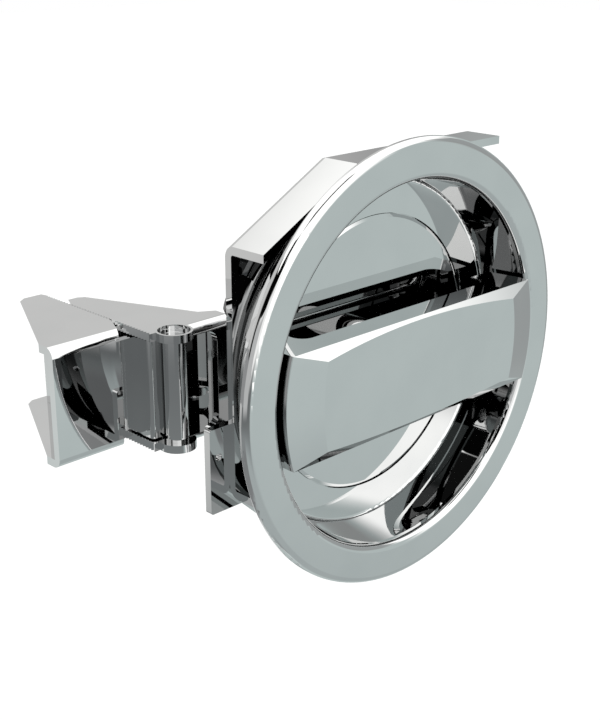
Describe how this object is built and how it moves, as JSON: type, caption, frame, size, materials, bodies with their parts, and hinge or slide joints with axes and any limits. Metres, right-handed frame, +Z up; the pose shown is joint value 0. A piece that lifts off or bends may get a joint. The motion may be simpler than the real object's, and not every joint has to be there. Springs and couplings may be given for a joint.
{
  "type": "flush cam latch",
  "caption": "Round flush latch: a recessed dish with a bar handle, a clamping bracket behind it and a turning cam arm with a toothed, adjustable claw.",
  "frame": {"origin": "centre of the flange ring's rear face, the plane where it seats on the door panel, on the spindle's axis", "axes": "+Y runs along the spindle from the ring back into the door, +X runs along the closed handle bar away from the cam arm, +Z is up"},
  "size_m": [0.1565, 0.0908, 0.13],
  "materials": {
    "chrome": "mirror polished",
    "steel_plated": "zinc plated, satin",
    "steel_dark": "dark plated, satin",
    "bronze": "turned",
    "polymer": "natural polymer"
  },
  "bodies": {
    "housing": {"dish": "chrome", "glide_ring": "polymer", "spindle_bush": "bronze", "bearing_housing": "steel_plated", "housing_screws": "steel_plated", "mounting_bracket": "chrome", "dish_studs": "steel_plated", "stud_washers": "steel_plated", "stud_nuts": "steel_dark", "fixing_tab": "chrome"},
    "rotor": {"handle_bar": "chrome", "handle_pin": "steel_plated", "rotor_disc": "chrome", "spindle": "steel_plated", "thrust_washer": "polymer", "cam_arm": "chrome", "arm_post": "chrome", "arm_end_plate": "chrome", "arm_washer": "steel_plated", "arm_nut": "steel_plated", "claw": "chrome", "claw_clamp_plate": "chrome", "clamp_bolt": "steel_dark", "clamp_washer": "steel_plated", "clamp_nut": "steel_plated"}
  },
  "joints": [
    {"name": "handle_turn", "type": "hinge", "parent": "housing", "child": "rotor", "pos_m": [0, 0.03, 0], "axis": [0, -1, 0], "range_deg": [0, 90]}
  ]
}
